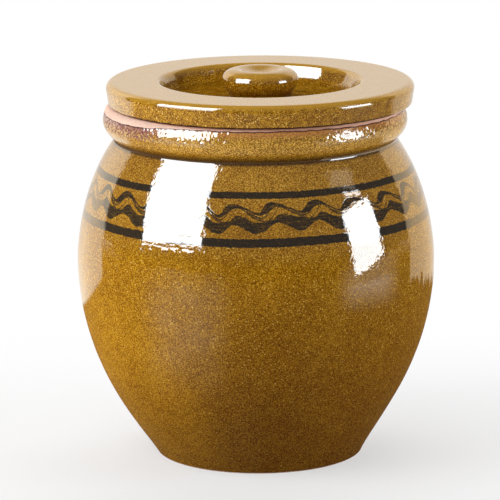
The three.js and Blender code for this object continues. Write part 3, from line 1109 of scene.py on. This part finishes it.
def lid_colour(g, at):
    colour = glaze_colour(g, at.place, **LID_GRAIN)
    # Painted sheen: the top is painted lighter and plainer
    colour = g.blend(g.times(at.top, LID_TOP_SHARE), colour, TOP_GLAZE_AND_SHEEN)
    # Painted shade: the well's floor is darker, more on the left
    colour = g.blend(g.times(at.well_floor, g.spread(at.well_right, 0.4, 0.08)), colour, THICK_GLAZE_AND_SHADE)
    # Painted shade: the side is darker on the right
    side = g.rise(at.radius, *LID_SIDE)
    shade_right = g.spread(g.rise(at.x, *DARKER_RIGHT), 0, 0.3)
    colour = g.blend(g.times(side, g.rise(at.height, *LID_SIDE_BELOW), shade_right), colour, THICK_GLAZE_AND_SHADE)
    # Painted shade: a dark ragged line along the side's lower edge
    ragged = g.plus(at.height, g.spread(g.noise(at.place, 5 * MM, 3), -EDGE_SHADE_RAGGED, EDGE_SHADE_RAGGED))
    colour = g.blend(g.times(g.rise(ragged, *EDGE_SHADE_BELOW), side), colour, POOLED_GLAZE_AND_SHADE)
    return g.blend(at.bare, colour, clay_colour(g, at.place))


# %% Lid gloss and surface
DRY_LID_COAT = 0.2
LID_WET_FROM = (299.6, 300.8)
WETTER_RIGHT = (20, 40)
WETTER_BY = 1.2
LEFT_END = (-97, -104)
RIGHT_END = (101, 106)
WELL_INSIDE = (100, 95)
WELL_WET_FROM = (292, 295)
DULL_WALL_INSIDE = (90, 85)
DULL_WALL_BELOW = (299, 297)
DULL_WALL_LEFT = (-10, -35)
TOP_CALMS_TO = 0.35
WELL_RING_PITCH = 0.75
WELL_RING_HEIGHT = 0.06 * MM


def lid_coat(g, at):
    higher = g.plus(at.height, g.spread(g.rise(at.x, *WETTER_RIGHT), 0, WETTER_BY))
    ends = g.most(g.rise(at.x, *LEFT_END), g.rise(at.x, *RIGHT_END))
    well = g.times(g.rise(at.radius, *WELL_INSIDE), g.rise(at.height, *WELL_WET_FROM))
    wet = g.most(g.rise(higher, *LID_WET_FROM), well, ends)
    # The well is dull on its floor and on the lower part of its left wall
    wall = g.times(g.rise(at.radius, *DULL_WALL_INSIDE), g.rise(at.height, *DULL_WALL_BELOW))
    dull_wall = g.times(wall, g.rise(at.x, *DULL_WALL_LEFT), 0.9)
    dull_floor = g.times(at.well_floor, g.spread(at.well_right, 0.82, 0.7))
    dull = g.most(dull_floor, dull_wall)
    return g.times(g.spread(wet, DRY_LID_COAT, 1), g.without(dull), g.without(at.bare))


def lid_relief(g, at):
    """The ripple is calmer on the top, and the well's floor has throwing rings."""
    swell = g.math("SUBTRACT", glaze_ripple(g, at.place), RIPPLE_MIDDLE)
    swell = g.times(swell, g.spread(at.top, 1, TOP_CALMS_TO))
    rings = g.times(g.math("SINE", g.times(at.radius, WELL_RING_PITCH)), WELL_RING_HEIGHT)
    return glaze_on_clay(g, at, g.plus(swell, g.times(rings, at.well_floor)))


# %% Lid
LID_FACETS = 256
LID_UNEVENNESS = 0.2 * MM


def lid_finish():
    material, g = new_finish("lid_glaze")
    at = lid_zones(g)
    finish_shader(g, lid_colour(g, at), bare_roughness(g, at.bare), lid_coat(g, at), lid_relief(g, at))
    return material


lid = throw("lid_thrown", lid_outline(), LID_MIDDLE, LID_FACETS, LID_UNEVENNESS, lid_finish())
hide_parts("lid")
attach(lid, "lid")

# %% [markdown]
# The knob
#
# The knob swells so that fingers get a hold under it, and a thumb has pressed a hollow into its top while
# the clay was wet. It is luted to the lid with slip. Its top is painted lighter as a painted sheen, and its
# foot is painted dark brown as shade where it meets the lid.

# %% Knob outline
knob_low, knob_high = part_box("lid_knob")
KNOB_RADIUS = (knob_high.x - knob_low.x) / 2
KNOB_FOOT = 24.5 * MM
KNOB_RIM = 19 * MM
KNOB_RIM_WIDTH = 3.5 * MM
KNOB_RIM_DROP = 0.6 * MM
KNOB_BULGE = 14.5 * MM
KNOB_DIMPLE = 4 * MM


def knob_outline():
    base, top = knob_low.z, knob_high.z
    crown = top - base - KNOB_BULGE
    shelf = KNOB_RADIUS - KNOB_RIM
    outline = Outline(0, base)
    outline.line(KNOB_FOOT, base)
    outline.curve((0, KNOB_BULGE / 3), (0, KNOB_BULGE / 2), KNOB_RADIUS, base + KNOB_BULGE)
    outline.curve((0, crown * 0.6), (-shelf * 0.6, 0), KNOB_RIM, top)
    outline.curve((-2 * MM, 0), (-1.5 * MM, -0.5 * MM), KNOB_RIM - KNOB_RIM_WIDTH, top - KNOB_RIM_DROP)
    outline.curve((-5 * MM, -1.6 * MM), (-7 * MM, 0), 0, top - KNOB_DIMPLE)
    return outline.points


print("knob", round(2 * KNOB_RADIUS, 3), "m wide and", round(knob_high.z - knob_low.z, 4), "m tall")

# %% Knob
KNOB_GRAIN = 2.6
KNOB_TOP_FROM = (306, 311)
KNOB_TOP_SHARE = 0.7
# Painted shade round the knob's foot
KNOB_SHADE_BELOW = (301, 293)
KNOB_SHADE_SHARE = 0.65
KNOB_COAT = 1
KNOB_FACETS = 128
KNOB_UNEVENNESS = 0.2 * MM


def knob_finish():
    material, g = new_finish("knob_glaze")
    at = measure(g)
    # Painted sheen: the top is painted lighter
    top = g.times(g.rise(at.height, *KNOB_TOP_FROM), KNOB_TOP_SHARE)
    colour = g.blend(top, glaze_colour(g, at.place, grain=KNOB_GRAIN), TOP_GLAZE_AND_SHEEN)
    # Painted shade: the foot is dark where it meets the lid
    foot_shade = g.times(g.rise(at.height, *KNOB_SHADE_BELOW), KNOB_SHADE_SHARE)
    colour = g.blend(foot_shade, colour, THICK_GLAZE_AND_SHADE)
    finish_shader(g, colour, GLAZE_ROUGHNESS, KNOB_COAT, glaze_ripple(g, at.place))
    return material


knob = throw("lid_knob_thrown", knob_outline(), LID_MIDDLE, KNOB_FACETS, KNOB_UNEVENNESS, knob_finish())
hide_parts("lid_knob")
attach(knob, "lid")
